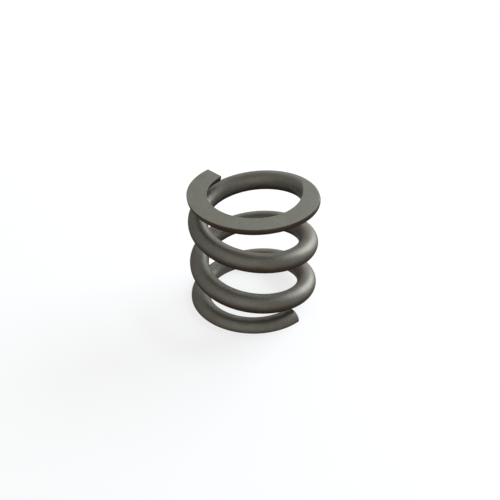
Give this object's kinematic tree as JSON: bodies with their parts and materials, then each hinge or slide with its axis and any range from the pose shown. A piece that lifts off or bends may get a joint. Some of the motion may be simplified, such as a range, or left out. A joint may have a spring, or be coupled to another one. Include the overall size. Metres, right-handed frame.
{
  "type": "slipper clutch spring",
  "caption": "Short stiff left-hand compression spring of round wire, with closed and ground ends, that clamps the plates of a slipper clutch.",
  "frame": {"origin": "on the spring's axis, in the plane of the bottom ground end", "axes": "+Z along the spring's axis towards the top ground end; the cut end at the top lies 135 degrees from +X, counter-clockwise seen from above, and the one at the bottom 45 degrees clockwise of +X"},
  "size_m": [0.01, 0.01, 0.0095],
  "materials": {
    "spring_steel": "dark satin, peened and oil-tempered, with the ends ground to a fine even grey"
  },
  "bodies": {
    "root": {"clutch_spring": "spring_steel"}
  },
  "joints": []
}
